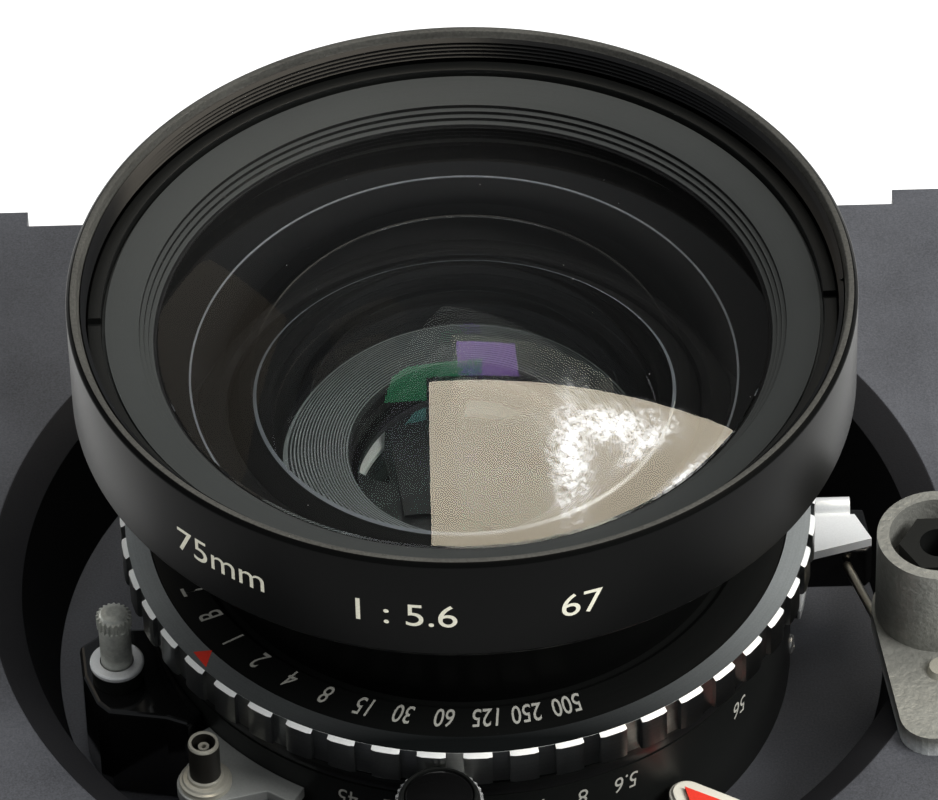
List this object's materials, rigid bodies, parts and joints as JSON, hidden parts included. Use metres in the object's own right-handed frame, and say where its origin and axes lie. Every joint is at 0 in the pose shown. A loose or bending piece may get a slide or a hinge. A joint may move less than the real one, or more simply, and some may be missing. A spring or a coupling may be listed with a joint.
{
  "type": "view camera lens in leaf shutter on lens board",
  "caption": "Wide-angle view-camera lens: deep front and rear cells screwed into a toothed-ring leaf shutter, clamped in a recessed lens board with a cable-release bracket.",
  "frame": {"origin": "on the optical axis, level with the rim of the rear cell, which the lens stands on", "axes": "+Z along the optical axis towards the subject; +Y towards the board's two ears, which is the side away from the speed numerals; +X towards the cable-release bracket"},
  "size_m": [0.0961, 0.099, 0.0789],
  "materials": {
    "board": "grey anodised, with a black recess wall",
    "black_metal": "satin black",
    "barrel_black": "satin black anodised",
    "trim_grey": "matt dark grey",
    "ring_satin": "satin chrome face with a polished chamfer",
    "chrome": "polished",
    "satin_steel": "satin",
    "blade_steel": "blackened steel",
    "brass": "plain",
    "black_plastic": "gloss black",
    "ivory_enamel": "ivory",
    "red_enamel": "red",
    "insulator": "cream",
    "coated_glass": "polished and coated",
    "cast_alloy": "cast and tumbled"
  },
  "bodies": {
    "body": {"lens_board": "board", "jam_ring": "black_metal", "shutter_case": "black_metal", "blade_plate": "satin_steel", "front_deck": "black_metal", "lever_spacer_lower": "black_metal", "lever_spacer_upper": "black_metal", "numeral_plate": "black_metal", "preview_block": "black_plastic", "preview_bush": "chrome", "sync_block": "black_plastic", "sync_plate": "satin_steel", "sync_socket": "chrome", "sync_insulator": "insulator", "sync_contact": "brass", "front_barrel": "barrel_black", "front_retaining_ring": "black_metal", "front_trim_ring": "trim_grey", "front_glass": "coated_glass", "inner_retaining_ring": "satin_steel", "second_glass": "coated_glass", "light_baffle": "trim_grey", "front_doublet": "coated_glass", "rear_barrel": "barrel_black", "rear_doublet": "coated_glass", "rear_inner_ring": "black_metal", "rear_glass": "coated_glass", "rear_retaining_ring": "black_metal", "release_bracket": "cast_alloy", "release_bush": "satin_steel", "bracket_screws": "satin_steel"},
    "speed_ring": {"speed_ring": "ring_satin"},
    "aperture_ring": {"aperture_ring": "satin_steel", "aperture_pointer": "ivory_enamel", "pointer_arrow": "red_enamel"},
    "blade_drive_ring": {"blade_drive_ring": "satin_steel"},
    "cocking_lever": {"cocking_lever": "chrome", "cocking_knob": "chrome", "cocking_knob_cap": "black_plastic"},
    "release_lever": {"release_lever": "chrome", "release_pad": "black_plastic"},
    "push_rod": {"push_rod": "satin_steel"},
    "preview_button": {"preview_button": "chrome"},
    "iris_blade_1": {"iris_blade_1": "blade_steel"},
    "iris_blade_2": {"iris_blade_2": "blade_steel"},
    "iris_blade_3": {"iris_blade_3": "blade_steel"},
    "iris_blade_4": {"iris_blade_4": "blade_steel"},
    "iris_blade_5": {"iris_blade_5": "blade_steel"},
    "shutter_blade_1": {"shutter_blade_1": "blade_steel"},
    "shutter_blade_2": {"shutter_blade_2": "blade_steel"},
    "shutter_blade_3": {"shutter_blade_3": "blade_steel"},
    "shutter_blade_4": {"shutter_blade_4": "blade_steel"},
    "shutter_blade_5": {"shutter_blade_5": "blade_steel"}
  },
  "joints": [
    {"name": "speed_ring_turn", "type": "hinge", "parent": "body", "child": "speed_ring", "pos_m": [0, 0, 0.0497], "axis": [0, 0, 1], "range_deg": [-15.7, 70.6]},
    {"name": "aperture_turn", "type": "hinge", "parent": "body", "child": "aperture_ring", "pos_m": [0, 0, 0.036], "axis": [0, 0, 1], "range_deg": [-50, 0]},
    {"name": "blade_drive_turn", "type": "hinge", "parent": "body", "child": "blade_drive_ring", "pos_m": [0, 0, 0.041], "axis": [0, 0, 1], "range_deg": [0, 9], "stiffness_Nm_per_rad": 0.02, "springref_deg": -5.73},
    {"name": "preview_press", "type": "slide", "parent": "body", "child": "preview_button", "axis": [0, 0, -1], "range_m": [0, 0.0024]},
    {"name": "cocking_swing", "type": "hinge", "parent": "body", "child": "cocking_lever", "pos_m": [0, 0, 0.0466], "axis": [0, 0, 1], "range_deg": [0, 55]},
    {"name": "release_swing", "type": "hinge", "parent": "body", "child": "release_lever", "pos_m": [0, 0, 0.0448], "axis": [0, 0, 1], "range_deg": [0, 4.4], "stiffness_Nm_per_rad": 0.02, "springref_deg": -5.73},
    {"name": "push_rod_slide", "type": "slide", "parent": "body", "child": "push_rod", "axis": [-0.3123, 0.95, 0], "range_m": [0, 0.0026]},
    {"name": "iris_blade_1_swing", "type": "hinge", "parent": "body", "child": "iris_blade_1", "pos_m": [0.0197, 0, 0.0375], "axis": [0, 0, 1], "range_deg": [0, 40]},
    {"name": "iris_blade_2_swing", "type": "hinge", "parent": "body", "child": "iris_blade_2", "pos_m": [0.00609, 0.01874, 0.0375], "axis": [0, 0, 1], "range_deg": [0, 40]},
    {"name": "iris_blade_3_swing", "type": "hinge", "parent": "body", "child": "iris_blade_3", "pos_m": [-0.01594, 0.01158, 0.0375], "axis": [0, 0, 1], "range_deg": [0, 40]},
    {"name": "iris_blade_4_swing", "type": "hinge", "parent": "body", "child": "iris_blade_4", "pos_m": [-0.01594, -0.01158, 0.0375], "axis": [0, 0, 1], "range_deg": [0, 40]},
    {"name": "iris_blade_5_swing", "type": "hinge", "parent": "body", "child": "iris_blade_5", "pos_m": [0.00609, -0.01874, 0.0375], "axis": [0, 0, 1], "range_deg": [0, 40]},
    {"name": "shutter_blade_1_swing", "type": "hinge", "parent": "body", "child": "shutter_blade_1", "pos_m": [0.01877, 0.01364, 0.0395], "axis": [0, 0, 1], "range_deg": [-38, 0]},
    {"name": "shutter_blade_2_swing", "type": "hinge", "parent": "body", "child": "shutter_blade_2", "pos_m": [-0.00717, 0.02207, 0.0395], "axis": [0, 0, 1], "range_deg": [-38, 0]},
    {"name": "shutter_blade_3_swing", "type": "hinge", "parent": "body", "child": "shutter_blade_3", "pos_m": [-0.0232, 0, 0.0395], "axis": [0, 0, 1], "range_deg": [-38, 0]},
    {"name": "shutter_blade_4_swing", "type": "hinge", "parent": "body", "child": "shutter_blade_4", "pos_m": [-0.00717, -0.02207, 0.0395], "axis": [0, 0, 1], "range_deg": [-38, 0]},
    {"name": "shutter_blade_5_swing", "type": "hinge", "parent": "body", "child": "shutter_blade_5", "pos_m": [0.01877, -0.01364, 0.0395], "axis": [0, 0, 1], "range_deg": [-38, 0]}
  ],
  "couplings": [
    {"joint": "preview_press", "follows": "blade_drive_turn", "m_per_rad": 0.015277},
    {"joint": "push_rod_slide", "follows": "release_swing", "m_per_rad": 0.033853},
    {"joint": "iris_blade_1_swing", "follows": "aperture_turn", "ratio": -0.8},
    {"joint": "iris_blade_2_swing", "follows": "aperture_turn", "ratio": -0.8},
    {"joint": "iris_blade_3_swing", "follows": "aperture_turn", "ratio": -0.8},
    {"joint": "iris_blade_4_swing", "follows": "aperture_turn", "ratio": -0.8},
    {"joint": "iris_blade_5_swing", "follows": "aperture_turn", "ratio": -0.8},
    {"joint": "shutter_blade_1_swing", "follows": "blade_drive_turn", "ratio": -4.2221},
    {"joint": "shutter_blade_2_swing", "follows": "blade_drive_turn", "ratio": -4.2221},
    {"joint": "shutter_blade_3_swing", "follows": "blade_drive_turn", "ratio": -4.2221},
    {"joint": "shutter_blade_4_swing", "follows": "blade_drive_turn", "ratio": -4.2221},
    {"joint": "shutter_blade_5_swing", "follows": "blade_drive_turn", "ratio": -4.2221}
  ]
}
